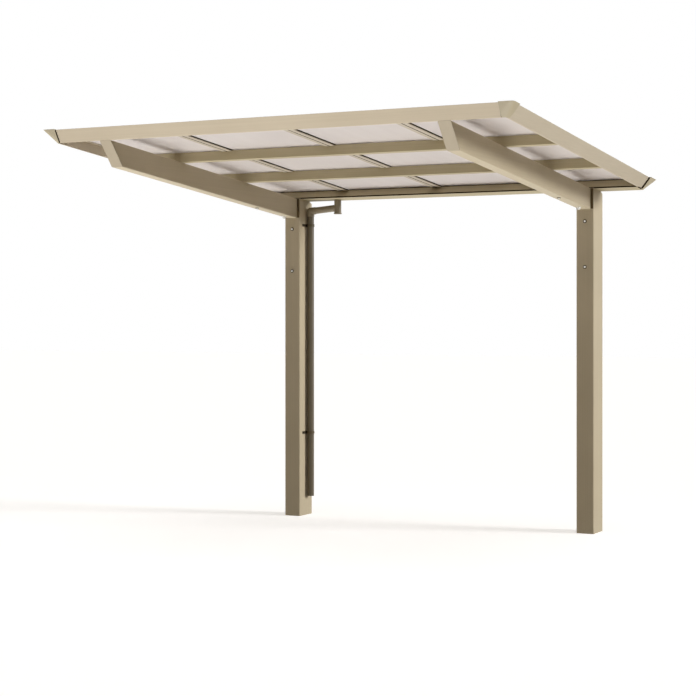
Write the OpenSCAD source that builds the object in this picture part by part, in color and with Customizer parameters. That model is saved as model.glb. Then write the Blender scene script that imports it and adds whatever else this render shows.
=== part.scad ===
// Cycle shelter with a flat, slightly falling roof carried forward from two rear posts.
// The origin is the middle of the left post's foot. X runs along the front, Y to the rear, Z up.
// All sizes are in millimetres.

/* [Posts] */
// distance from the roof's side edge to the middle of a post
side_overhang = 359; // [200:1:600]
// width of a post, seen from the front
post_w = 104; // [80:1:140]
// depth of a post, seen from the side
post_d = 164; // [100:1:220]
// wall of a post
post_wall = 3; // [2:0.5:3.5]
// radius of a post's long edges
post_r = 4.5; // [4:0.5:14]
// plate that closes the foot of a post
foot_t = 8; // [4:1:12]
// plate on the head of a post, under the gutter
post_cap_t = 4; // [2:1:8]
// slope of that plate behind the gutter, in degrees
head_slope = 22; // [5:1:40]

/* [Roof] */
// height of the roof's top face above the posts' middle line
roof_z = 2041; // [1900:1:2600]
// fall of the roof to the rear, in degrees
roof_fall = 5.07; // [1:0.01:10]
// width of the roof over the side frames
roof_w = 2638; // [2000:1:3600]
// length of the roof in front of the posts' middle line
roof_front = 2146; // [1400:1:2600]
// length of the roof behind the posts' middle line
roof_rear = 101; // [90:1:160]

/* [Edge frame] */
// width of the edge frame, seen from above
frame_w = 53; // [52:1:90]
// height of the edge frame
frame_h = 61; // [45:1:90]
// how far the outer face leans in at its foot
undercut = 45; // [10:1:46]
// wall of the edge frame
frame_wall = 2.5; // [1.5:0.5:4]
// ledge below the panels
ledge = 14; // [8:1:20]
// lip over the panels
lip = 10; // [5:1:14]
// length of a front corner cap along the front and the side
cap_w = 70; // [68:1:120]
// radius of a corner cap at its top
corner_r = 25; // [10:1:32]
// radius of a corner cap at its foot
corner_r_foot = 68; // [40:1:72]
// wall of a corner cap
cap_wall = 3; // [2:0.5:4]
// how far a corner cap's leaning faces stand proud of the frame
cap_proud = 6.5; // [1:0.5:9]
// how far a corner cap's top stands proud of the frame
cap_rise = 2; // [0:0.5:4]

/* [Beams] */
// width of a roof beam
beam_w = 68; // [40:1:90]
// height of a roof beam
beam_h = 121; // [80:1:180]
// wall of a roof beam
beam_wall = 4; // [2:0.5:6]
// radius of a roof beam's long edges
beam_r = 5; // [4:0.5:8]
// how far the front end of a beam is cut back at its foot
beam_cut = 121; // [20:1:200]
// thickness of a beam's end cap
end_cap_t = 4; // [2:0.5:8]

/* [Purlins] */
// middle distance of the purlins
purlin_pitch = 692; // [500:1:800]
// front face of the front purlin, in front of the posts' middle line
purlin_front = 1421; // [1200:1:1600]
// width of a purlin
purlin_w = 40; // [25:1:60]
// wall of a purlin
purlin_wall = 2.5; // [1.5:0.5:4]

/* [Panels] */
// number of roof panels
panel_n = 4; // [4:1:4]
// thickness of a roof panel
panel_t = 3; // [2:0.5:6]
// thickness of a joint bar where it lies on the purlins
bar_t = 4.5; // [2:0.5:6]
// how much deeper a joint bar is between the purlins
bar_drop = 4; // [1:0.5:12]
// width of the bar below a panel joint
bar_w = 60; // [30:1:80]
// width of the strip over a panel joint
strip_w = 34; // [20:1:60]
// web between two panels
web_w = 8; // [5:1:12]
// thickness of the strip over a panel joint
strip_t = 2; // [1.5:0.5:4]

/* [Gutter] */
// how far the gutter's front foot lies behind the posts' front faces
gutter_inset = 20; // [5:1:30]
// how far the gutter's front wall leans back at its top
gutter_back = 49; // [10:1:60]
// wall of the gutter
gutter_wall = 3; // [2:0.5:4]
// turned-in lip along the gutter's rear edge
gutter_lip = 18; // [8:1:24]

/* [Rainwater pipe] */
// outer diameter of the pipes
pipe_d = 42; // [32:1:60]
// wall of the pipes
pipe_wall = 2; // [1.5:0.5:3]
// middle of the downpipe, to the right of the left post's middle
pipe_x = 78; // [76:1:110]
// middle of the downpipe, behind the posts' middle line
pipe_y = 16; // [0:1:40]
// foot of the downpipe
pipe_foot = 120; // [60:1:300]
// how far the elbow's middle lies below the roof's top face
elbow_drop = 129; // [125:1:300]
// length of an elbow arm, from the middle to the mouth of its socket
elbow_arm = 34; // [30:1:60]
// how far a pipe goes into a socket
socket_in = 10; // [6:1:20]
// wall of the elbow's sockets
socket_wall = 2.2; // [1.5:0.1:4]
// how much the elbow's ball is wider than its arms
ball_over = 1.6; // [0.8:0.2:4]
// fall of the branch pipe, in degrees
branch_fall = 4.8; // [1:0.1:8]
// middle of the gutter outlet, to the right of the left post's middle
outlet_x = 270; // [200:1:400]
// outer diameter of the gutter outlet
outlet_d = 44; // [43:1:60]
// how far the underside of the gutter outlet lies below the roof's top face
outlet_drop = 152; // [146:1:240]
// rim that closes the outlet's foot
outlet_rim = 3; // [1:0.5:6]
// height of a pipe clamp
clamp_h = 16; // [10:1:30]
// how far the upper clamp lies below the roof's top face
clamp_drop = 219; // [200:1:600]
// height of the lower clamp
clamp_low = 520; // [300:1:1200]

/* [Hidden] */
$fn = 64;
half_w = roof_w / 2;
post_pitch = roof_w - 2 * side_overhang;
mid_x = post_pitch / 2;
inner_x = half_w - frame_w;
field_w = 2 * inner_x / panel_n;
inner_front = -roof_front + frame_w;
panel_top = -strip_t;
panel_foot = panel_top - panel_t;
purlin_top = panel_foot - bar_t;
panel_rear = 10;
side_rear = -5;
beam_front = -roof_front + undercut;
lean = undercut / frame_h;
cap_reach = cap_proud * sqrt(1 + lean * lean);
gutter_foot = roof_rear - undercut;
gutter_front = post_d / 2 - gutter_inset;
elbow_z = roof_z - elbow_drop;
outlet_z = roof_z - outlet_drop;
clamp_top = roof_z - clamp_drop;
pipe_top = elbow_z - elbow_arm + socket_in;
corner_len = sqrt(2 * undercut * undercut + frame_h * frame_h);
corner_half = asin(sqrt(0.5) / sqrt(1 - pow(undercut / corner_len, 2)));
corner_apex = corner_len * corner_r / (corner_r_foot - corner_r);
corner_fan = corner_r / (corner_apex * tan(corner_half));
corner_tilt = atan(corner_fan / cos(corner_half));
corner_cone = asin(sin(corner_tilt) * sin(corner_half));
corner_plane = atan(corner_fan * cos(corner_half));
big = 6000;
play = 0.3;
colour_frame = [0.74, 0.69, 0.58];
colour_shade = [0.55, 0.50, 0.41];
colour_panel = [0.82, 0.81, 0.83];
colour_cap = [0.78, 0.74, 0.65];
colour_pipe = [0.42, 0.38, 0.31];

// Places a roof piece: X from the roof's middle, Y down the fall, Z square to the roof's top face.
module on_roof() {
  translate([mid_x, 0, roof_z]) rotate([-roof_fall, 0, 0]) children();
}

// Everything above a plane that lies the given depth below the roof's top face.
module above_roof(depth) {
  on_roof() translate([-big, -big, -depth]) cube([2 * big, 2 * big, big]);
}

// Everything above a post's head: under the gutter it follows the roof, behind it the head slopes off.
module above_head(depth) {
  above_roof(depth);
  on_roof() translate([-big, gutter_foot, -depth]) rotate([-head_slope, 0, 0]) cube([2 * big, big, big]);
}

// A rectangle about the origin with round corners.
module round_rect(w, h, r) {
  square([w - 2 * r, h], center = true);
  square([w, h - 2 * r], center = true);
  for (x = [-1, 1], y = [-1, 1]) translate([x * (w / 2 - r), y * (h / 2 - r)]) circle(r);
}

// Outline of the edge frame: the outer face leans in, and a groove holds the panels.
module frame_outline() {
  skew = frame_wall * sqrt(1 + lean * lean);
  difference() {
    polygon([[0, 0], [frame_w + lip, 0], [frame_w + lip, panel_top], [frame_w, panel_top],
      [frame_w, panel_foot], [frame_w + ledge, panel_foot], [frame_w + ledge, purlin_top],
      [frame_w, purlin_top], [frame_w, -frame_h], [undercut, -frame_h]]);
    polygon([[lean * frame_wall + skew, -frame_wall],
      [frame_w - frame_wall, -frame_wall],
      [frame_w - frame_wall, -frame_h + frame_wall],
      [lean * (frame_h - frame_wall) + skew, -frame_h + frame_wall]]);
  }
}

// A frame profile laid along X, with its outer face to the front.
module frame_along_x(len) {
  translate([-len / 2, 0, 0]) rotate([90, 0, 90]) linear_extrude(height = len) frame_outline();
}

// A frame profile laid along Y, with its outer face to the left.
module frame_along_y(from, to) {
  translate([0, to, 0]) rotate([90, 0, 0]) linear_extrude(height = to - from) frame_outline();
}

// Outline of a corner cap across one of its two outer faces, which stand proud of the frame.
// With an inset it is the outline of the hollow inside, which stays open towards the frame.
module cap_outline(deep, inset = 0) {
  skew = inset * sqrt(1 + lean * lean);
  top = cap_rise - inset;
  foot = -frame_h + inset;
  end = inset > 0 ? deep + 1 : deep;
  polygon([[-cap_reach - lean * top + skew, top], [end, top], [end, foot],
    [-cap_reach - lean * foot + skew, foot]]);
}

// What the round of a corner cap takes off: all that lies outside a cone along the sloped corner edge.
// The cone touches both outer faces and is wider at the foot.
module corner_round(inset = 0) {
  translate([-cap_reach, -cap_reach, 0]) rotate([0, 0, 45]) rotate([0, -atan(lean * sqrt(2)), 0])
    translate([inset / sin(corner_half), 0, corner_apex - inset * cos(corner_tilt) / sin(corner_cone)])
      difference() {
        rotate([0, -corner_plane, 0]) translate([-200, -200, -400]) cube([200, 400, 400]);
        rotate([0, 180 - corner_tilt, 0]) cylinder(h = 400, r1 = 0, r2 = 400 * tan(corner_cone));
      }
}

// The body of a corner cap, solid, or the hollow inside it when an inset is given.
module cap_body(wide, deep, inset = 0) {
  difference() {
    intersection() {
      translate([-60, 0, 0]) rotate([90, 0, 90]) linear_extrude(height = wide + 60 + min(1, inset))
        cap_outline(deep, inset);
      translate([0, deep + min(1, inset), 0]) rotate([90, 0, 0])
        linear_extrude(height = deep + 60 + min(1, inset)) cap_outline(wide, inset);
    }
    corner_round(inset);
  }
}

// A corner cap with its outer corner at the left front: a moulded shell of two leaning faces that meet in a round.
// With a plate its right end is closed, as it has to be where the cap ends the gutter.
module corner_cap(wide, deep, plate = 0) {
  hollow_end = plate > 0 ? wide - plate : wide + 2;
  difference() {
    cap_body(wide, deep);
    intersection() {
      cap_body(wide, deep, cap_wall);
      translate([hollow_end - big, -big / 2, -big / 2]) cube([big, big, big]);
    }
    translate([frame_w, frame_w, -big / 2]) cube([big, big, big]);
  }
}

// A tubular post with round edges and a closed foot, cut to the fall of the roof under its cap.
module post(x) {
  color(colour_frame) difference() {
    translate([x, 0, 0]) linear_extrude(height = roof_z) round_rect(post_w, post_d, post_r);
    translate([x, 0, foot_t]) linear_extrude(height = roof_z)
      round_rect(post_w - 2 * post_wall, post_d - 2 * post_wall, post_r - post_wall);
    above_head(frame_h + post_cap_t);
  }
}

// The plate on a post's head, with its rear edge sloped off behind the gutter.
module post_cap(x) {
  color(colour_shade) difference() {
    intersection() {
      translate([x, 0, 0]) linear_extrude(height = roof_z) round_rect(post_w, post_d, post_r);
      above_head(frame_h + post_cap_t);
    }
    above_head(frame_h);
  }
}

// A length of beam that reaches forward under the roof, solid or with the given wall taken off.
module beam_length(x, wall) {
  on_roof() translate([x - mid_x, 0, -frame_h - beam_h / 2]) rotate([90, 0, 0])
    linear_extrude(height = -beam_front + 20) round_rect(beam_w - 2 * wall, beam_h - 2 * wall, beam_r - wall);
}

// Everything in front of the sloped cut at a beam's front end.
module beam_nose(inset) {
  slope = beam_cut / beam_h;
  from = beam_front + inset;
  on_roof() translate([-big, 0, -frame_h]) rotate([90, 0, 90]) linear_extrude(height = 2 * big)
    polygon([[from - 50 * slope, 50], [from - 600, 50], [from - 600, -beam_h - 50],
      [from + beam_cut + 50 * slope, -beam_h - 50]]);
}

// A tubular beam that runs forward under the roof from the front face of its post.
module beam(x) {
  run = end_cap_t * sqrt(1 + pow(beam_cut / beam_h, 2));
  color(colour_frame) difference() {
    beam_length(x, 0);
    beam_length(x, beam_wall);
    beam_nose(run);
    translate([x - big / 2, -post_d / 2, 0]) cube([big, big, big]);
  }
}

// The flat cap on the sloped front end of a beam.
module beam_end_cap(x) {
  run = end_cap_t * sqrt(1 + pow(beam_cut / beam_h, 2));
  color(colour_cap) difference() {
    intersection() {
      beam_length(x, 0);
      beam_nose(run);
    }
    beam_nose(0);
  }
}

module left_post() post(0);
module right_post() post(post_pitch);
module left_post_cap() post_cap(0);
module right_post_cap() post_cap(post_pitch);
module left_beam() beam(0);
module right_beam() beam(post_pitch);
module left_beam_end_cap() beam_end_cap(0);
module right_beam_end_cap() beam_end_cap(post_pitch);

// Front edge of the roof, between the two front corner caps.
module front_frame() {
  color(colour_frame) on_roof() translate([0, -roof_front, 0]) frame_along_x(roof_w - 2 * cap_w);
}

// Left edge of the roof, from the front corner cap to the rear one.
module left_side_frame() {
  color(colour_frame) on_roof() translate([-half_w, 0, 0]) frame_along_y(cap_w - roof_front, side_rear);
}

// Right edge of the roof, the mirror of the left one.
module right_side_frame() {
  color(colour_frame) on_roof() mirror([1, 0, 0]) translate([-half_w, 0, 0])
    frame_along_y(cap_w - roof_front, side_rear);
}

module front_left_corner_cap() {
  color(colour_cap) on_roof() translate([-half_w, -roof_front, 0]) corner_cap(cap_w, cap_w);
}

module front_right_corner_cap() {
  color(colour_cap) on_roof() mirror([1, 0, 0]) translate([-half_w, -roof_front, 0])
    corner_cap(cap_w, cap_w);
}

module rear_left_corner_cap() {
  color(colour_cap) on_roof() mirror([0, 1, 0]) translate([-half_w, -roof_rear, 0])
    corner_cap(frame_w, roof_rear - side_rear, cap_wall);
}

module rear_right_corner_cap() {
  color(colour_cap) on_roof() mirror([0, 1, 0]) mirror([1, 0, 0]) translate([-half_w, -roof_rear, 0])
    corner_cap(frame_w, roof_rear - side_rear, cap_wall);
}

// A box purlin between the side frames, resting on the beams.
module purlin(front) {
  depth = frame_h + purlin_top;
  color(colour_shade) on_roof() translate([-inner_x, front, -frame_h]) rotate([90, 0, 90])
    linear_extrude(height = 2 * inner_x) difference() {
      square([purlin_w, depth]);
      translate([purlin_wall, purlin_wall]) square([purlin_w - 2 * purlin_wall, depth - 2 * purlin_wall]);
    }
}

module front_purlin() purlin(-purlin_front);
module rear_purlin() purlin(-purlin_front + purlin_pitch);

// Outline of the gutter: a floor, a front wall that leans back, and a leaning rear wall with a lip.
module gutter_outline() {
  t = gutter_wall;
  skew = t * sqrt(1 + lean * lean);
  front_lean = gutter_back / (frame_h + purlin_top);
  front_skew = t * sqrt(1 + front_lean * front_lean);
  front_top = -gutter_front + gutter_back;
  polygon([[-gutter_front, -frame_h], [gutter_foot, -frame_h], [roof_rear, 0], [roof_rear - gutter_lip, 0],
    [roof_rear - gutter_lip, -t], [roof_rear - lean * t - skew, -t],
    [gutter_foot + lean * t - skew, -frame_h + t],
    [-gutter_front + front_lean * t + front_skew, -frame_h + t],
    [front_top + front_skew, purlin_top], [front_top, purlin_top]]);
}

// Rear gutter, lying on the posts and pierced over the outlet.
module gutter() {
  color(colour_shade) difference() {
    on_roof() translate([-inner_x, 0, 0]) rotate([90, 0, 90]) linear_extrude(height = 2 * inner_x)
      gutter_outline();
    translate([outlet_x, pipe_y, outlet_z]) cylinder(h = roof_z - outlet_z - frame_h + 20, d = outlet_d - 8);
  }
}

// One roof panel, its edges in the grooves of the frame or between the joint bars.
module roof_panel(i) {
  gap = 1;
  x0 = i == 0 ? gap - inner_x : (i - panel_n / 2) * field_w + web_w / 2 + gap;
  x1 = i == panel_n - 1 ? inner_x - gap : (i + 1 - panel_n / 2) * field_w - web_w / 2 - gap;
  color(colour_panel) on_roof() translate([x0, inner_front + gap, panel_foot])
    cube([x1 - x0, panel_rear - inner_front - gap, panel_t]);
}

module roof_panel_1() roof_panel(0);
module roof_panel_2() roof_panel(1);
module roof_panel_3() roof_panel(2);
module roof_panel_4() roof_panel(3);

// The bar below a panel joint: a web between the two panels, and a foot that is notched over the purlins.
module panel_bar(i) {
  start = inner_front + ledge;
  first = -purlin_front;
  second = first + purlin_pitch;
  gutter_top = -gutter_front + gutter_back;
  stops = [[start, first], [first + purlin_w, second], [second + purlin_w, gutter_top - bar_drop - 2]];
  color(colour_frame) on_roof() translate([(i - panel_n / 2) * field_w, 0, purlin_top]) {
    translate([-bar_w / 2, start, 0]) cube([bar_w, panel_rear - start - 4, bar_t]);
    translate([-web_w / 2, start, bar_t - 0.5]) cube([web_w, panel_rear - start - 4, panel_t + 0.5]);
    for (s = stops) translate([-bar_w / 2, s[0], -bar_drop])
      cube([bar_w, s[1] - s[0], bar_drop + 0.5]);
  }
}

module panel_bar_1() panel_bar(1);
module panel_bar_2() panel_bar(2);
module panel_bar_3() panel_bar(3);

// The strip that holds two panels down on their joint bar, with its long edges bevelled.
module cover_strip(i) {
  start = inner_front + lip;
  half = strip_w / 2;
  color(colour_frame) on_roof() translate([(i - panel_n / 2) * field_w, panel_rear - 4, panel_top])
    rotate([90, 0, 0]) linear_extrude(height = panel_rear - start - 4)
      polygon([[-half, 0], [half, 0], [half, strip_t / 2], [half - 5, strip_t], [5 - half, strip_t],
        [-half, strip_t / 2]]);
}

module cover_strip_1() cover_strip(1);
module cover_strip_2() cover_strip(2);
module cover_strip_3() cover_strip(3);

// Line of the branch pipe: from the elbow's middle, rising to the gutter outlet.
module along_branch() {
  translate([pipe_x, pipe_y, elbow_z]) rotate([0, 90 - branch_fall, 0]) children();
}

// Line of the downpipe: from the elbow's middle, straight down.
module along_downpipe() {
  translate([pipe_x, pipe_y, elbow_z]) rotate([180, 0, 0]) children();
}

// Round outlet below the gutter, closed by a rimmed foot and holed for the branch pipe.
module outlet_box() {
  t = 2.5;
  color(colour_pipe) difference() {
    union() {
      translate([outlet_x, pipe_y, outlet_z]) cylinder(h = roof_z - outlet_z, d = outlet_d);
      translate([outlet_x, pipe_y, outlet_z]) cylinder(h = 7, d = outlet_d + 2 * outlet_rim);
    }
    translate([outlet_x, pipe_y, outlet_z + t]) cylinder(h = roof_z, d = outlet_d - 2 * t);
    along_branch() cylinder(h = outlet_x - pipe_x, d = pipe_d - 2 * pipe_wall);
    above_roof(frame_h);
  }
}

// Branch pipe from the elbow to the gutter outlet, its upper end cut round to fit.
module branch_pipe() {
  color(colour_pipe) difference() {
    along_branch() translate([0, 0, elbow_arm - socket_in]) difference() {
      cylinder(h = outlet_x - pipe_x - elbow_arm + socket_in, d = pipe_d);
      translate([0, 0, -1]) cylinder(h = 400, d = pipe_d - 2 * pipe_wall);
    }
    translate([outlet_x, pipe_y, 0]) cylinder(h = roof_z, d = outlet_d);
  }
}

// One arm of the elbow, from its middle to the mouth of the socket.
module elbow_arm_solid() {
  cylinder(h = elbow_arm, d = pipe_d + 2 * socket_wall);
}

// The bore of one arm, which widens to take the pipe's end with a little play.
module elbow_arm_bore() {
  cylinder(h = elbow_arm, d = pipe_d - 2 * pipe_wall);
  translate([0, 0, elbow_arm - socket_in]) cylinder(h = socket_in + 1, d = pipe_d + 2 * play);
}

// Tight elbow: two arms that meet in a ball, with a socket at each end.
module pipe_elbow() {
  color(colour_pipe) difference() {
    union() {
      translate([pipe_x, pipe_y, elbow_z]) sphere(d = pipe_d + 2 * socket_wall + ball_over);
      along_branch() elbow_arm_solid();
      along_downpipe() elbow_arm_solid();
    }
    translate([pipe_x, pipe_y, elbow_z]) sphere(d = pipe_d - 2 * pipe_wall + ball_over);
    along_branch() elbow_arm_bore();
    along_downpipe() elbow_arm_bore();
  }
}

// Downpipe along the left post.
module downpipe() {
  color(colour_pipe) translate([pipe_x, pipe_y, pipe_foot]) difference() {
    cylinder(h = pipe_top - pipe_foot, d = pipe_d);
    translate([0, 0, -1]) cylinder(h = pipe_top - pipe_foot + 2, d = pipe_d - 2 * pipe_wall);
  }
}

// Clamp: a foot on the post's side, a neck and a ring around the pipe.
module pipe_clamp(z) {
  color(colour_pipe) translate([0, 0, z - clamp_h / 2]) difference() {
    union() {
      translate([pipe_x, pipe_y, 0]) cylinder(h = clamp_h, d = pipe_d + 6);
      translate([post_w / 2, pipe_y - 10, 0]) cube([pipe_x - post_w / 2, 20, clamp_h]);
      translate([post_w / 2, pipe_y - 62, 0]) cube([3, 84, clamp_h]);
    }
    translate([pipe_x, pipe_y, -1]) cylinder(h = clamp_h + 2, d = pipe_d + 2 * play);
  }
}

module upper_pipe_clamp() pipe_clamp(clamp_top);
module lower_pipe_clamp() pipe_clamp(clamp_low);

left_post();
right_post();
left_post_cap();
right_post_cap();
left_beam();
right_beam();
left_beam_end_cap();
right_beam_end_cap();
front_frame();
left_side_frame();
right_side_frame();
front_left_corner_cap();
front_right_corner_cap();
rear_left_corner_cap();
rear_right_corner_cap();
front_purlin();
rear_purlin();
gutter();
roof_panel_1();
roof_panel_2();
roof_panel_3();
roof_panel_4();
panel_bar_1();
panel_bar_2();
panel_bar_3();
cover_strip_1();
cover_strip_2();
cover_strip_3();
outlet_box();
branch_pipe();
pipe_elbow();
downpipe();
upper_pipe_clamp();
lower_pipe_clamp();
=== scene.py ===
import math

import bmesh
import bpy
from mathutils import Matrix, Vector


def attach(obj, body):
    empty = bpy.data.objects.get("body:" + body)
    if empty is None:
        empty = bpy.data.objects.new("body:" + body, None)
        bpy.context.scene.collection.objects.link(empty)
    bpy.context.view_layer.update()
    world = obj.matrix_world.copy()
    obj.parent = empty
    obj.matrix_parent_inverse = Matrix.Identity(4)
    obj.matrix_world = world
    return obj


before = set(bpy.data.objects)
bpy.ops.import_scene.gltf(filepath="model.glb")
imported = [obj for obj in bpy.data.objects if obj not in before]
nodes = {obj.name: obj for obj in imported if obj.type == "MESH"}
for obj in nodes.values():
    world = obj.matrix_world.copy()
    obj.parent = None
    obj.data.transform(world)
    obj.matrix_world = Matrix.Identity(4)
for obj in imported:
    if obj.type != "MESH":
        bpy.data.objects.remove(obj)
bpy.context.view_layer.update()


# Posts: two tubular aluminium extrusions with a baked champagne coating, set in footings.
# The die leaves faint streaks along each length, and mica gives the satin coat a fine grain.
# The foot of each post is a little duller, where rain splashes up.
def linear(code):
    """Turns an sRGB hex colour into linear red, green, blue and alpha."""
    part = [int(code[i:i + 2], 16) / 255 for i in (1, 3, 5)]
    return [c / 12.92 if c <= 0.04045 else ((c + 0.055) / 1.055) ** 2.4 for c in part] + [1.0]


def add(tree, kind, into=None, **settings):
    """Adds one node; `into` gives its inputs as values or as sockets to link."""
    made = tree.nodes.new(kind)
    for name, value in settings.items():
        setattr(made, name, value)
    for name, value in (into or {}).items():
        if isinstance(value, bpy.types.NodeSocket):
            tree.links.new(value, made.inputs[name])
        else:
            made.inputs[name].default_value = value
    return made


def bare_material(name):
    """A new material and its tree, with no node in it yet."""
    made = bpy.data.materials.new(name)
    made.use_nodes = True
    made.node_tree.nodes.clear()
    return made, made.node_tree


def coated_aluminium(name, along, base, deep):
    """Satin coat over extruded metal: die streaks, a slight cloudiness, dry splashes low down.

    The mica grain is drawn coarser than the real one, so that it shows.
    """
    streak_w, streak_len, cloud_w, mica_w = 0.006, 0.9, 0.35, 0.0022
    spot_w, splash_h, edge_radius = 0.012, 0.22, 0.0015
    made, tree = bare_material(name)
    place = add(tree, "ShaderNodeTexCoord").outputs["Object"]
    stretch = [1 / (streak_len if axis == along else streak_w) for axis in "XYZ"]
    drawn = add(tree, "ShaderNodeMapping", {"Vector": place, "Scale": stretch})
    streak = add(tree, "ShaderNodeTexNoise", {
        "Vector": drawn.outputs["Vector"], "Scale": 1.0, "Detail": 3.0})
    cloud = add(tree, "ShaderNodeTexNoise", {"Vector": place, "Scale": 1 / cloud_w, "Detail": 2.0})
    mica = add(tree, "ShaderNodeTexNoise", {"Vector": place, "Scale": 1 / mica_w, "Detail": 1.0})
    blend = add(tree, "ShaderNodeMath", {0: streak.outputs["Fac"], 1: cloud.outputs["Fac"]},
                operation="ADD")
    tone = add(tree, "ShaderNodeMapRange", {
        "Value": blend.outputs["Value"], "From Min": 0.7, "From Max": 1.3})
    coat = add(tree, "ShaderNodeMix", {
        "Factor": tone.outputs["Result"], 6: linear(deep), 7: linear(base)}, data_type="RGBA")
    height = add(tree, "ShaderNodeSeparateXYZ", {"Vector": place})
    splash = add(tree, "ShaderNodeMapRange", {
        "Value": height.outputs["Z"], "From Min": 0.0, "From Max": splash_h,
        "To Min": 0.35, "To Max": 0.0})
    spots = add(tree, "ShaderNodeTexNoise", {"Vector": place, "Scale": 1 / spot_w, "Detail": 4.0})
    dust = add(tree, "ShaderNodeMath", {0: splash.outputs["Result"], 1: spots.outputs["Fac"]},
               operation="MULTIPLY")
    colour = add(tree, "ShaderNodeMix", {
        "Factor": dust.outputs["Value"], 6: coat.outputs[2], 7: linear("#a89d88")},
        data_type="RGBA")
    gloss = add(tree, "ShaderNodeMapRange", {
        "Value": mica.outputs["Fac"], "From Min": 0.3, "From Max": 0.7,
        "To Min": 0.42, "To Max": 0.54})
    edge = add(tree, "ShaderNodeBevel", {"Radius": edge_radius}, samples=4)
    relief = add(tree, "ShaderNodeBump", {
        "Height": mica.outputs["Fac"], "Normal": edge.outputs["Normal"],
        "Strength": 0.05, "Distance": 0.0004})
    shader = add(tree, "ShaderNodeBsdfPrincipled", {
        "Base Color": colour.outputs[2], "Roughness": gloss.outputs["Result"],
        "Normal": relief.outputs["Normal"], "Specular IOR Level": 0.2})
    add(tree, "ShaderNodeOutputMaterial", {"Surface": shader.outputs["BSDF"]})
    return made


def dress(material, *names):
    """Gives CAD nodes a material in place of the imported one."""
    for name in names:
        nodes[name].data.materials.clear()
        nodes[name].data.materials.append(material)


upright_metal = coated_aluminium("champagne_coat_upright", "Z", "#c9bca1", "#c1b499")
dress(upright_metal, "left_post", "right_post", "left_post_cap", "right_post_cap")


# Roof beams: deeper coated extrusions that run forward under the roof, bolted to the posts' fronts.
# Their streaks run along the fall. A moulded plastic cap, which has none, closes each front end.
def moulded_plastic(name, base, deep, rough, shine=0.5):
    """Moulded plastic or rubber: one even colour with a slight cloudiness.

    The mould's spark-eroded grain is drawn coarser than the real one, so that it shows.
    """
    cloud_w, grain_w, edge_radius = 0.05, 0.0015, 0.002
    made, tree = bare_material(name)
    place = add(tree, "ShaderNodeTexCoord").outputs["Object"]
    cloud = add(tree, "ShaderNodeTexNoise", {"Vector": place, "Scale": 1 / cloud_w, "Detail": 3.0})
    grain = add(tree, "ShaderNodeTexNoise", {"Vector": place, "Scale": 1 / grain_w, "Detail": 1.0})
    colour = add(tree, "ShaderNodeMix", {
        "Factor": cloud.outputs["Fac"], 6: linear(deep), 7: linear(base)}, data_type="RGBA")
    edge = add(tree, "ShaderNodeBevel", {"Radius": edge_radius}, samples=4)
    relief = add(tree, "ShaderNodeBump", {
        "Height": grain.outputs["Fac"], "Normal": edge.outputs["Normal"],
        "Strength": 0.1, "Distance": 0.0004})
    shader = add(tree, "ShaderNodeBsdfPrincipled", {
        "Base Color": colour.outputs[2], "Normal": relief.outputs["Normal"],
        "Roughness": rough, "IOR": 1.5, "Specular IOR Level": shine})
    add(tree, "ShaderNodeOutputMaterial", {"Surface": shader.outputs["BSDF"]})
    return made


beam_metal = coated_aluminium("champagne_coat_beam", "Y", "#cabda2", "#c2b59a")
dress(beam_metal, "left_beam", "right_beam")
end_plastic = moulded_plastic("champagne_end_moulding", "#b8aa90", "#b0a288", rough=0.5)
dress(end_plastic, "left_beam_end_cap", "right_beam_end_cap")

# Bolts and screws of the beams and posts: button heads on washers, in bright stainless steel.
# A large bolt hangs under each beam by the post and a small screw further forward, and two screws
# are in each post's front. The small ones sit on dark washers, whose dark is painted shade round
# their heads.
ROOF_MIDDLE = Vector((0.960, 0.0, 2.041))
ROOF_FALL = math.radians(5.07)


def on_roof(x, v, w):
    """A place in metres, from mm across the roof (x), down its fall (v) and above its top (w)."""
    flat, steep = math.cos(ROOF_FALL), math.sin(ROOF_FALL)
    return ROOF_MIDDLE + Vector((x, v * flat + w * steep, w * flat - v * steep)) / 1000


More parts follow.
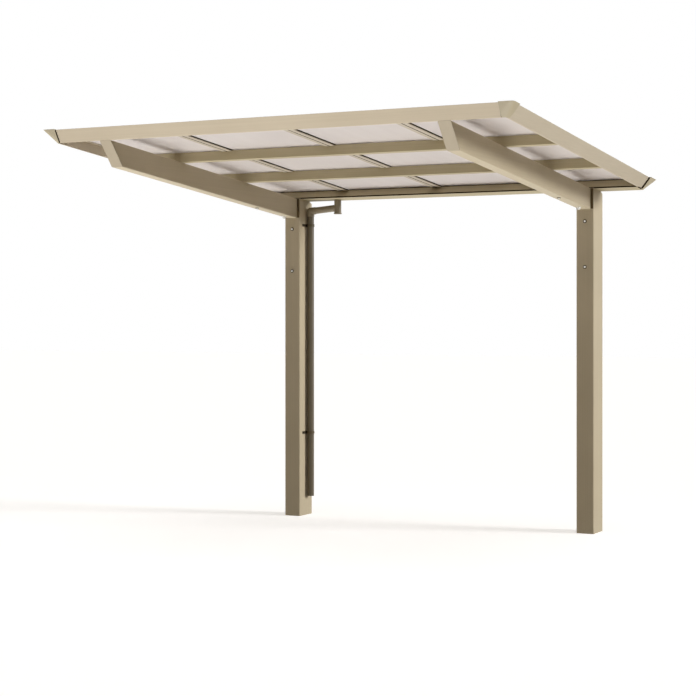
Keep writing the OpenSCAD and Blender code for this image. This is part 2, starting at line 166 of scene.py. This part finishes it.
def screw_tree(name, material):
    """Button heads on washers, one at each point, turned to its facing and spun at random."""
    tree = bpy.data.node_groups.new(name, "GeometryNodeTree")
    tree.interface.new_socket("Geometry", in_out="INPUT", socket_type="NodeSocketGeometry")
    for size in ("Head Diameter", "Head Height", "Washer Diameter", "Washer Thickness",
                 "Socket Share"):
        tree.interface.new_socket(size, in_out="INPUT", socket_type="NodeSocketFloat")
    tree.interface.new_socket("Head Sides", in_out="INPUT", socket_type="NodeSocketInt")
    tree.interface.new_socket("Geometry", in_out="OUTPUT", socket_type="NodeSocketGeometry")
    given = add(tree, "NodeGroupInput").outputs

    def raised(mesh, top, rise, share):
        """Draws the top face out by `rise`, and in to a share of its width."""
        out = add(tree, "GeometryNodeExtrudeMesh", {
            "Mesh": mesh, "Selection": top, "Offset Scale": rise, "Individual": False})
        drawn_in = add(tree, "GeometryNodeScaleElements", {
            "Geometry": out.outputs["Mesh"], "Selection": out.outputs["Top"], "Scale": share})
        return drawn_in.outputs["Geometry"], out.outputs["Top"]

    def stretched(mesh, half, width, height, foot):
        """Stands a shape of width and height 1 on its foot, gives it its real size and lifts it."""
        stood = add(tree, "GeometryNodeTransform", {"Geometry": mesh, "Translation": (0, 0, half)})
        size = add(tree, "ShaderNodeCombineXYZ", {"X": width, "Y": width, "Z": height})
        lift = add(tree, "ShaderNodeCombineXYZ", {"Z": foot})
        return add(tree, "GeometryNodeTransform", {
            "Geometry": stood.outputs["Geometry"], "Scale": size.outputs["Vector"],
            "Translation": lift.outputs["Vector"]}).outputs["Geometry"]

    wall_h, shoulder_h, crown_h, socket_h = 0.5, 0.33, 0.17, -0.4
    shoulder_share, crown_share, socket_foot_share = 0.84, 0.68, 0.9
    washer = add(tree, "GeometryNodeMeshCylinder", {"Vertices": 20, "Radius": 0.5, "Depth": 1.0})
    washer = stretched(washer.outputs["Mesh"], 0.5,
                       given["Washer Diameter"], given["Washer Thickness"], 0.0)
    wall = add(tree, "GeometryNodeMeshCylinder", {
        "Vertices": given["Head Sides"], "Radius": 0.5, "Depth": wall_h})
    mesh, top = raised(wall.outputs["Mesh"], wall.outputs["Top"], shoulder_h, shoulder_share)
    mesh, top = raised(mesh, top, crown_h, crown_share)
    mesh, top = raised(mesh, top, 0.0, given["Socket Share"])
    mesh, top = raised(mesh, top, socket_h, socket_foot_share)
    head = stretched(mesh, wall_h / 2,
                     given["Head Diameter"], given["Head Height"], given["Washer Thickness"])
    screw = add(tree, "GeometryNodeJoinGeometry", {"Geometry": head})
    tree.links.new(washer, screw.inputs["Geometry"])
    full_turn = 6.283
    facing = add(tree, "GeometryNodeInputNamedAttribute", {"Name": "facing"},
                 data_type="FLOAT_VECTOR")
    aimed = add(tree, "FunctionNodeAlignRotationToVector", {"Vector": facing.outputs[0]}, axis="Z")
    chance = add(tree, "FunctionNodeRandomValue", {2: 0.0, 3: full_turn, "Seed": 7},
                 data_type="FLOAT")
    spin = add(tree, "FunctionNodeAxisAngleToRotation", {
        "Axis": (0, 0, 1), "Angle": chance.outputs[1]})
    turned = add(tree, "FunctionNodeRotateRotation", {
        "Rotation": aimed.outputs["Rotation"], "Rotate By": spin.outputs["Rotation"]},
        rotation_space="LOCAL")
    spread = add(tree, "GeometryNodeInstanceOnPoints", {
        "Points": given["Geometry"], "Instance": screw.outputs["Geometry"],
        "Rotation": turned.outputs["Rotation"]})
    real = add(tree, "GeometryNodeRealizeInstances", {"Geometry": spread.outputs["Instances"]})
    done = add(tree, "GeometryNodeSetMaterial", {
        "Geometry": real.outputs["Geometry"], "Material": material})
    add(tree, "NodeGroupOutput", {"Geometry": done.outputs["Geometry"]})
    return tree


def screw_sizes(head_w, head_h, washer_w, washer_h, socket_share=0.75):
    """The screw tree's inputs, from lengths in mm."""
    return {"Head Diameter": head_w / 1000, "Head Height": head_h / 1000,
            "Washer Diameter": washer_w / 1000, "Washer Thickness": washer_h / 1000,
            "Socket Share": socket_share, "Head Sides": 16}


def grown(name, tree, sizes, points, edges=(), facing=None):
    """Runs a geometry tree over points or lines and gives back its result as a plain mesh piece."""
    guide_mesh = bpy.data.meshes.new(name + "_guide")
    guide_mesh.from_pydata([tuple(p) for p in points], list(edges), [])
    if facing:
        turned = guide_mesh.attributes.new("facing", "FLOAT_VECTOR", "POINT")
        for item, vector in zip(turned.data, facing):
            item.vector = vector
    guide = bpy.data.objects.new(name + "_guide", guide_mesh)
    bpy.context.scene.collection.objects.link(guide)
    maker = guide.modifiers.new("maker", "NODES")
    maker.node_group = tree
    for item in tree.interface.items_tree:
        if item.in_out == "INPUT" and item.name in sizes:
            maker[item.identifier] = sizes[item.name]
    graph = bpy.context.evaluated_depsgraph_get()
    result = bpy.data.meshes.new_from_object(guide.evaluated_get(graph))
    guide.modifiers.remove(maker)
    bpy.data.objects.remove(guide)
    piece = bpy.data.objects.new(name, result)
    bpy.context.scene.collection.objects.link(piece)
    return piece


# The steel is turned and tumbled: it mirrors the sky, broken by scuffs drawn coarser than real.
scuff_w = 0.003
screw_steel, tree = bare_material("stainless_screw_steel")
place = add(tree, "ShaderNodeTexCoord").outputs["Object"]
scuff = add(tree, "ShaderNodeTexNoise", {"Vector": place, "Scale": 1 / scuff_w, "Detail": 3.0})
gloss = add(tree, "ShaderNodeMapRange", {
    "Value": scuff.outputs["Fac"], "To Min": 0.20, "To Max": 0.36})
tint = add(tree, "ShaderNodeMix", {
    "Factor": scuff.outputs["Fac"], 6: linear("#e4e2dc"), 7: linear("#f7f6f2")}, data_type="RGBA")
shader = add(tree, "ShaderNodeBsdfPrincipled", {
    "Base Color": tint.outputs[2], "Roughness": gloss.outputs["Result"], "Metallic": 1.0})
add(tree, "ShaderNodeOutputMaterial", {"Surface": shader.outputs["BSDF"]})

button_screws = screw_tree("button_head_screws", screw_steel)
down, ahead = (on_roof(0, 0, -1) - on_roof(0, 0, 0)).normalized(), (0, -1, 0)
beam_xs, bolt_v, screw_v, beam_foot = (-960, 960), -172, -508, -182.0
post_xs, post_front, post_screw_zs = (0.0, 1.920), -0.082, (1.534, 1.797)
bolts = [on_roof(x, bolt_v, beam_foot) for x in beam_xs]
under = [on_roof(x, screw_v, beam_foot) for x in beam_xs]
fronts = [(x, post_front, z) for x in post_xs for z in post_screw_zs]
facing_down, facing_ahead = [down] * len(beam_xs), [ahead] * len(fronts)
hanging = grown("beam_bolts", button_screws, screw_sizes(21, 15, 27, 2.5),
                bolts, facing=facing_down)
small = grown("beam_screws", button_screws, screw_sizes(12, 5.5, 13, 4),
              under, facing=facing_down)
faced = grown("post_screws", button_screws, screw_sizes(12, 6, 13, 3),
              fronts, facing=facing_ahead)
# This dark rubber is used for real seals, and in strips, fillets and washers as painted shade.
seal_and_painted_shade_rubber = moulded_plastic("black_seal_and_painted_shade_rubber", "#352b1e", "#2b2318", rough=0.85, shine=0.05)
# Painted shade: dark washers under the small screws, for the shade round their heads.
washers = grown("screw_painted_shade_washers", screw_tree("painted_shade_washers", seal_and_painted_shade_rubber),
                screw_sizes(10, 1, 21, 2.5), fronts + under, facing=facing_ahead + facing_down)
for piece in (hanging, small, faced, washers):
    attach(piece, "root")

# Painted shade between beams and posts: dull brown strips, 16.5 mm wide, in the corner on both
# sides of each beam, where the beam's shadow falls on the post's front face. They run from the
# beam's underside up to the roof.
painted_shade_brown = moulded_plastic("brown_painted_shade", "#66573f", "#5b4d37", rough=0.85, shine=0.05)


def strip_tree(name, material):
    """A strip of rectangular section along each line of the guide."""
    tree = bpy.data.node_groups.new(name, "GeometryNodeTree")
    tree.interface.new_socket("Geometry", in_out="INPUT", socket_type="NodeSocketGeometry")
    tree.interface.new_socket("Strip Width", in_out="INPUT", socket_type="NodeSocketFloat")
    tree.interface.new_socket("Strip Height", in_out="INPUT", socket_type="NodeSocketFloat")
    tree.interface.new_socket("Geometry", in_out="OUTPUT", socket_type="NodeSocketGeometry")
    given = add(tree, "NodeGroupInput").outputs
    line = add(tree, "GeometryNodeMeshToCurve", {"Mesh": given["Geometry"]})
    upright = add(tree, "GeometryNodeSetCurveNormal", {"Curve": line.outputs["Curve"]}, mode="Z_UP")
    section = add(tree, "GeometryNodeCurvePrimitiveQuadrilateral", {
        "Width": given["Strip Width"], "Height": given["Strip Height"]}, mode="RECTANGLE")
    swept = add(tree, "GeometryNodeCurveToMesh", {
        "Curve": upright.outputs["Curve"], "Profile Curve": section.outputs["Curve"],
        "Fill Caps": True})
    real = add(tree, "GeometryNodeRealizeInstances", {"Geometry": swept.outputs["Mesh"]})
    done = add(tree, "GeometryNodeSetMaterial", {
        "Geometry": real.outputs["Geometry"], "Material": material})
    add(tree, "NodeGroupOutput", {"Geometry": done.outputs["Geometry"]})
    return tree


# Black strips: real seals on top of the panels, and painted shade in gaps and along edges.
black_seal_and_shade_strips = strip_tree("black_seal_and_painted_shade_strips", seal_and_painted_shade_rubber)
brown_shade_strips = strip_tree("brown_painted_shade_strips", painted_shade_brown)


def strips(name, tree, width, height, lines):
    """One piece of rubber strips (mm), each from its first to its last point."""
    points = [p for line in lines for p in line]
    edges = [(2 * i, 2 * i + 1) for i in range(len(lines))]
    sizes = {"Strip Width": width / 1000, "Strip Height": height / 1000}
    piece = grown(name, tree, sizes, points, edges)
    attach(piece, "root")


shade_strip_w, shade_strip_h, shade_strip_out = 16.5, 2.2, 0.0010
beam_half, shade_strip_ends = 0.034, (1.868, 1.985)
shade_strip_x = beam_half + shade_strip_w / 2000
# Painted shade: brown strips on each post's front, beside the beam, where its shadow falls.
strips("beam_painted_shade_strips", brown_shade_strips, shade_strip_w, shade_strip_h,
       [[Vector((x + side * shade_strip_x, post_front - shade_strip_out, z)) for z in shade_strip_ends]
        for x in post_xs for side in (-1, 1)])

# Edge frame: one coated extrusion with a leaning outer face, round the front and both sides.
# Moulded plastic caps cover the front corners and end the sides at the gutter. They stand proud of
# the metal, and have no streaks.
# Painted light: the front frame's coat is lighter than the posts', for the light on its leaning
# face; the side frames' coat is a little lighter too.
lit_front_metal = coated_aluminium("champagne_coat_front_painted_light", "X", "#d8cab2", "#d0c2a9")
fall_metal = coated_aluminium("champagne_coat_fall", "Y", "#cec2ac", "#c6baa4")
dress(lit_front_metal, "front_frame")
dress(fall_metal, "left_side_frame", "right_side_frame")
corner_plastic = moulded_plastic("champagne_corner_moulding", "#beb296", "#b6aa8e", rough=0.5)
dress(corner_plastic, "front_left_corner_cap", "front_right_corner_cap", "rear_left_corner_cap",
      "rear_right_corner_cap")

# Sealant and painted shade: a fillet of dull, dark rubber lies in the step beside each corner cap,
# 6.4 mm high; its dark stands for the shade in the seam. It follows the leaning face from its top
# to its foot, and runs out on the frame within 2.5 mm at the front and 11 mm at the rear. At the
# rear a black strip of painted shade goes on under the side frame, up to the gutter.
half_w, roof_front, side_rear = 1319.0, 2146.0, -5.0
frame_w, frame_h, undercut, cap_w = 53.0, 61.0, 45.0, 70.0
fillet_h, front_fillet_w, rear_fillet_w, fillet_ends = 6.4, 2.5, 11.0, (0.01, 0.99)
lean_len = math.hypot(undercut, frame_h)
out_flat, out_down = frame_h / lean_len, undercut / lean_len


def prism(name, section_pairs):
    """Three-sided bars in one mesh; each is given by its start and end triangles."""
    points, faces = [], []
    for start, end in section_pairs:
        n = len(points)
        points += [tuple(p) for p in start + end]
        faces += [(n, n + 1, n + 2), (n + 5, n + 4, n + 3)]
        faces += [(n + i, n + 3 + i, n + 3 + (i + 1) % 3, n + (i + 1) % 3) for i in range(3)]
    mesh = bpy.data.meshes.new(name)
    mesh.from_pydata(points, [], faces)
    shape = bmesh.new()
    shape.from_mesh(mesh)
    bmesh.ops.recalc_face_normals(shape, faces=shape.faces)
    shape.to_mesh(mesh)
    shape.free()
    mesh.materials.append(seal_and_painted_shade_rubber)
    piece = bpy.data.objects.new(name, mesh)
    bpy.context.scene.collection.objects.link(piece)
    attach(piece, "root")


def face_point(side, along, depth, proud, on_front):
    """A point on the leaning face: `depth` goes from 0 at its top to 1 at its foot.

    `proud` is how far it lies outside the face.
    """
    inward = undercut * depth - proud * out_flat
    w = -frame_h * depth - proud * out_down
    if on_front:
        return on_roof(side * along, inward - roof_front, w)
    return on_roof(side * (half_w - inward), along, w)


fillets = []
for side in (-1, 1):
    for on_front, edge, width in ((True, half_w - cap_w, front_fillet_w),
                                  (False, side_rear, rear_fillet_w)):
        section = ((edge, 0.0), (edge, fillet_h), (edge - width, 0.0))
        fillets.append([[face_point(side, along, depth, proud, on_front)
                         for along, proud in section] for depth in fillet_ends])
prism("corner_cap_fillets_and_painted_shade", fillets)
gutter_foot = -62.0
foot_shade_w, foot_shade_h, foot_shade_inset, foot_shade_drop = 7.0, 5.0, 3.0, 1.5
foot_x = half_w - undercut - foot_shade_inset
# Painted shade: a black strip under each side frame's foot, from the gutter to the rear seam.
strips("frame_foot_painted_shade_strips", black_seal_and_shade_strips, foot_shade_w, foot_shade_h,
       [[on_roof(side * foot_x, v, -frame_h - foot_shade_drop) for v in (gutter_foot, side_rear)]
        for side in (-1, 1)])

# Purlins and gutter: two box purlins across the beams, and the gutter on the posts behind them.
# All are coated extrusions, laid from side frame to side frame. Black strips on the top and the
# foot of the gutter's front wall are painted shade, for the dark gap under the panels and the shade
# at its foot; black rubber seals the gutter's ends.
# Painted shade: this coat is darker than the posts', for the shade on the purlins' and gutter's
# fronts.
shaded_cross_metal = coated_aluminium("champagne_coat_cross_painted_shade", "X", "#b8ab8b", "#b0a383")
dress(shaded_cross_metal, "front_purlin", "rear_purlin", "gutter")
inner_x, gutter_top, wall_top = half_w - frame_w, -13.0, -9.5
gap_shade_w, gap_shade_h, foot_w, foot_h, foot_out, end_w, play = 5.0, 4.5, 3.0, 8.0, 0.5, 4.0, 1.0
across = (play - inner_x, inner_x - play)
# Painted shade: a black strip along the top of the gutter's front wall, in the gap under the
# panels.
strips("gutter_gap_painted_shade_strip", black_seal_and_shade_strips, gap_shade_w, gap_shade_h,
       [[on_roof(x, gutter_top + gap_shade_w / 2, wall_top + gap_shade_h / 2) for x in across]])
# Painted shade: a black strip along the foot of the gutter's front wall.
strips("gutter_foot_painted_shade_strip", black_seal_and_shade_strips, foot_w, foot_h,
       [[on_roof(x, gutter_foot + foot_out, foot_h / 2 - foot_out - frame_h) for x in across]])
end_x = inner_x - end_w / 2
strips("gutter_end_seals", black_seal_and_shade_strips, end_w, end_w,
       [[on_roof(side * end_x, gutter_foot - end_w / 2, end_w / 2 - frame_h),
         on_roof(side * end_x, gutter_top - end_w / 2, wall_top - play)] for side in (-1, 1)])

# Roof panels: four extruded sheets of frosted polycarbonate, 3 mm thick, cut to the roof's fall.
# The frost scatters the daylight, so the sheet looks milky from below and never shows a clear view.
# Its grain is drawn coarser than the real one, and the faint runs are those of the extruder's lip.
frost_w, run_w, run_len, cloud_w = 0.004, 0.05, 0.8, 0.6
panel_sheet, tree = bare_material("frosted_polycarbonate")
place = add(tree, "ShaderNodeTexCoord").outputs["Object"]
frost = add(tree, "ShaderNodeTexNoise", {"Vector": place, "Scale": 1 / frost_w, "Detail": 2.0})
fall = add(tree, "ShaderNodeMapping", {"Vector": place, "Scale": (1 / run_w, 1 / run_len, 1.0)})
runs = add(tree, "ShaderNodeTexNoise", {
    "Vector": fall.outputs["Vector"], "Scale": 1.0, "Detail": 3.0})
cloud = add(tree, "ShaderNodeTexNoise", {"Vector": place, "Scale": 1 / cloud_w, "Detail": 2.0})
veil = add(tree, "ShaderNodeMath", {0: runs.outputs["Fac"], 1: cloud.outputs["Fac"]},
           operation="MULTIPLY")
veil_tone = add(tree, "ShaderNodeMapRange", {
    "Value": veil.outputs["Value"], "From Min": 0.12, "From Max": 0.4})
colour = add(tree, "ShaderNodeMix", {
    "Factor": veil_tone.outputs["Result"], 6: linear("#e2dad5"), 7: linear("#e9e2dd")},
    data_type="RGBA")
relief = add(tree, "ShaderNodeBump", {
    "Height": frost.outputs["Fac"], "Strength": 0.15, "Distance": 0.0005})
shader = add(tree, "ShaderNodeBsdfPrincipled", {
    "Base Color": colour.outputs[2], "Normal": relief.outputs["Normal"],
    "Roughness": 0.5, "IOR": 1.585, "Transmission Weight": 0.6})
add(tree, "ShaderNodeOutputMaterial", {"Surface": shader.outputs["BSDF"]})
dress(panel_sheet, "roof_panel_1", "roof_panel_2", "roof_panel_3", "roof_panel_4")

# Joint bars and cover strips: coated flat extrusions below and above each joint of two panels.
# Screws through the strip clamp the sheets between rubber seals, and a seal lines the frame's lip.
# Painted shade: this coat is darker than the frame's, for the shade on the bars under the panels;
# the cover strips share it.
shaded_bar_metal = coated_aluminium("champagne_coat_bar_painted_shade", "Y", "#bdb2a0", "#b5aa98")
dress(shaded_bar_metal, "panel_bar_1", "panel_bar_2", "panel_bar_3", "cover_strip_1", "cover_strip_2",
      "cover_strip_3")
panel_pitch, strip_w, bar_w, bar_foot = 633.0, 34.0, 60.0, -13.5
inner_front, lip, ledge = frame_w - roof_front, 10.0, 14.0
panel_top, panel_rear = -2.0, 10.0
purlin_fronts, purlin_w = (-1421.0, -729.0), 40.0
joints = (-panel_pitch, 0.0, panel_pitch)
upper_w, upper_h, upper_rise, seal_off = 4.5, 2.2, 0.5, 2.0
front_stop, rear_stop, bar_stop = 4.0, 6.0, 5.0
seal_level = panel_top + upper_rise
strip_ends = (inner_front + lip + front_stop, panel_rear - rear_stop)
upper = [[on_roof(x + side * (strip_w / 2 + seal_off), v, seal_level) for v in strip_ends]
         for x in joints for side in (-1, 1)]
upper += [[on_roof(side * (inner_x - lip - seal_off), v, seal_level)
           for v in (inner_front + lip, side_rear)] for side in (-1, 1)]
upper.append([on_roof(x, inner_front + lip + seal_off, seal_level)
              for x in (seal_off - inner_x, inner_x - seal_off)])
strips("upper_seals", black_seal_and_shade_strips, upper_w, upper_h, upper)
# Painted shade: black strips along the bars' sides, where their side faces lie in shade.
side_shade_w, side_shade_h, side_shade_out = 2.4, 4.5, 1.1
bar_start, bar_end = inner_front + ledge, panel_rear - bar_stop
strips("bar_side_painted_shade_strips", black_seal_and_shade_strips, side_shade_w, side_shade_h,
       [[on_roof(x + side * (bar_w / 2 + side_shade_out), v, wall_top + side_shade_h / 2)
         for v in (bar_start, bar_end)] for x in joints for side in (-1, 1)])
fields = ((bar_start, purlin_fronts[0]), (purlin_fronts[0] + purlin_w, purlin_fronts[1]),
          (purlin_fronts[1] + purlin_w, gutter_top - rear_stop))
# Painted shade: a black strip down each bar's underside, for the shade of a groove line.
groove_w, groove_h, groove_drop = 5.0, 1.0, 0.3
strips("bar_groove_painted_shade_strips", black_seal_and_shade_strips, groove_w, groove_h,
       [[on_roof(x, v, bar_foot - groove_drop) for v in (start + play, end - play)]
        for x in joints for start, end in fields])
first_screw, screw_pitch = -2050, 335
on_strips = [on_roof(x, v, 0) for x in joints for v in range(first_screw, 0, screw_pitch)]
piece = grown("strip_screws", button_screws, screw_sizes(10, 3, 15, 1.5, 0.7),
              on_strips, facing=[-down] * len(on_strips))
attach(piece, "root")

# Rainwater run: extruded and moulded PVC in a deeper brown with a slight gloss, from the gutter's
# outlet down the left post. The outlet, branch and elbow are painted lighter than the downpipe, for
# the light they catch. Two clamps hold the pipe, each by a screw in its foot on the post's side.
# A clamp's foot and neck and that screw's head are painted darker than its ring, as shade.
pipe_plastic = moulded_plastic("brown_rainwater_pvc", "#635945", "#5c523f", rough=0.3)
dress(pipe_plastic, "downpipe")
# Painted light: the same PVC, lighter on the outlet, branch and elbow for the light they catch.
lit_fitting_plastic = moulded_plastic("brown_fitting_pvc_painted_light", "#93876f", "#8b7f68", rough=0.3)
dress(lit_fitting_plastic, "outlet_box", "branch_pipe", "pipe_elbow")
neck_end, ring_start = 0.0590, 0.0595
clamp_plastic_shaded_foot = moulded_plastic("two_part_clamp_plastic_painted_shade", "#453b2c", "#3d3427",
                                rough=0.5, shine=0.2)
tree = clamp_plastic_shaded_foot.node_tree
shader = tree.nodes["Principled BSDF"]
foot_shade_colour = shader.inputs["Base Color"].links[0].from_socket
place = add(tree, "ShaderNodeTexCoord").outputs["Object"]
reach = add(tree, "ShaderNodeSeparateXYZ", {"Vector": place})
# Painted shade: the foot's darker colour up to neck_end, the lighter ring colour beyond it.
ring = add(tree, "ShaderNodeMapRange", {
    "Value": reach.outputs["X"], "From Min": neck_end, "From Max": ring_start})
split = add(tree, "ShaderNodeMix", {
    "Factor": ring.outputs["Result"], 6: foot_shade_colour, 7: linear("#5f5542")}, data_type="RGBA")
tree.links.new(split.outputs[2], shader.inputs["Base Color"])
dress(clamp_plastic_shaded_foot, "upper_pipe_clamp", "lower_pipe_clamp")
clamp_face, clamp_screw_y, clamp_zs = 0.055, -0.032, (0.520, 1.822)
piece = grown("clamp_screws", screw_tree("clamp_screws_painted_shade", clamp_plastic_shaded_foot),
              screw_sizes(9, 3, 12, 1, 0.7), [(clamp_face, clamp_screw_y, z) for z in clamp_zs],
              facing=[(1, 0, 0)] * len(clamp_zs))
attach(piece, "root")

# Studio: a white floor that keeps the shadow, a soft key lamp low on the right with a weak fill,
# and one lamp above. A wide reflector below lights the undersides, as a pale floor does, and a
# softbox in front lights the leaning front.
floor_reach = 40
floor_mesh = bpy.data.meshes.new("studio_floor")
floor_mesh.from_pydata([(x * floor_reach, y * floor_reach, 0)
                        for x, y in ((-1, -1), (1, -1), (1, 1), (-1, 1))], [], [(0, 1, 2, 3)])
floor = bpy.data.objects.new("studio_floor", floor_mesh)
bpy.context.scene.collection.objects.link(floor)
floor.visible_shadow = False


def in_sight(tree):
    """Two light path values: seen by the eye, and seen by it, in a gloss or through a sheet."""
    path = add(tree, "ShaderNodeLightPath").outputs
    seen = add(tree, "ShaderNodeMath", {0: path["Is Camera Ray"], 1: path["Is Glossy Ray"]},
               operation="MAXIMUM")
    seen = add(tree, "ShaderNodeMath", {
        0: seen.outputs["Value"], 1: path["Is Transmission Ray"]}, operation="MAXIMUM")
    return path["Is Camera Ray"], seen.outputs["Value"]


floor_paint, tree = bare_material("studio_floor_white")
by_eye, seen = in_sight(tree)
lift = add(tree, "ShaderNodeMath", {0: seen, 1: 0.58}, operation="MULTIPLY")
shade = add(tree, "ShaderNodeMix", {
    "Factor": by_eye, 6: linear("#6c6458"), 7: linear("#e7e7e7")}, data_type="RGBA")
matt = add(tree, "ShaderNodeBsdfDiffuse", {"Color": shade.outputs[2]})
glow = add(tree, "ShaderNodeEmission", {
    "Color": linear("#ffffff"), "Strength": lift.outputs["Value"]})
both = add(tree, "ShaderNodeAddShader", {0: matt.outputs["BSDF"], 1: glow.outputs["Emission"]})
add(tree, "ShaderNodeOutputMaterial", {"Surface": both.outputs["Shader"]})
floor_mesh.materials.append(floor_paint)

world = bpy.data.worlds.new("studio_sky")
bpy.context.scene.world = world
world.use_nodes = True
tree = world.node_tree
tree.nodes.clear()
seen = in_sight(tree)[1]
dim = add(tree, "ShaderNodeBackground", {"Color": linear("#ffe7c5"), "Strength": 0.15})
white = add(tree, "ShaderNodeBackground", {"Color": linear("#ffffff"), "Strength": 1.0})
pick = add(tree, "ShaderNodeMixShader", {
    0: seen, 1: dim.outputs["Background"], 2: white.outputs["Background"]})
add(tree, "ShaderNodeOutputWorld", {"Surface": pick.outputs["Shader"]})


def lamp(name, toward, strength, spread):
    """A far lamp in the given direction, with its apparent size in degrees."""
    data = bpy.data.lights.new(name, "SUN")
    data.energy = strength
    data.angle = math.radians(spread)
    made = bpy.data.objects.new(name, data)
    made.rotation_euler = Vector(toward).to_track_quat("Z", "Y").to_euler()
    bpy.context.scene.collection.objects.link(made)


def softbox(name, place, aim, size, power, spread):
    """A flat lamp near the object, out of the eye's sight; a grid narrows its beam (degrees)."""
    data = bpy.data.lights.new(name, "AREA")
    data.shape = "RECTANGLE"
    data.size, data.size_y = size
    data.energy = power
    data.spread = math.radians(spread)
    made = bpy.data.objects.new(name, data)
    made.location = place
    made.rotation_euler = (Vector(place) - Vector(aim)).to_track_quat("Z", "Y").to_euler()
    made.visible_camera = False
    bpy.context.scene.collection.objects.link(made)


lamp("key_right", toward=(0.905, 0.20, 0.29), strength=2.5, spread=20)
lamp("fill_right", toward=(0.95, 0.0, -0.25), strength=0.2, spread=40)
lamp("sky_above", toward=(0.1, -0.1, 1.0), strength=0.6, spread=40)
lamp("reflector_below", toward=(-0.14, -0.08, -1.0), strength=3.75, spread=64)
softbox("reflector_front", place=(0.3, -3.6, 0.3), aim=(0.8, -2.1, 2.15), size=(3.0, 1.2),
        power=2.7, spread=56)

# Camera: level, 1.25 m up and turned to the left, as the photograph's vanishing lines give it.
# The lens and its shift come from the focal length and the horizon, in pixels of the photograph.
photo_px, focal_px, horizon_px, sensor_mm, heading = 696, 1673.70, 316.344, 36.0, 0.47016
eye_data = bpy.data.cameras.new("eye")
eye_data.sensor_width = sensor_mm
eye_data.lens = sensor_mm * focal_px / photo_px
eye_data.shift_y = -(photo_px / 2 - horizon_px) / photo_px
eye = bpy.data.objects.new("eye", eye_data)
eye.location = (5.0661, -9.2808, 1.250)
eye.rotation_euler = (math.radians(90), 0, heading)
bpy.context.scene.collection.objects.link(eye)
bpy.context.scene.camera = eye
bpy.context.scene.view_settings.view_transform = "Standard"

bpy.context.view_layer.update()
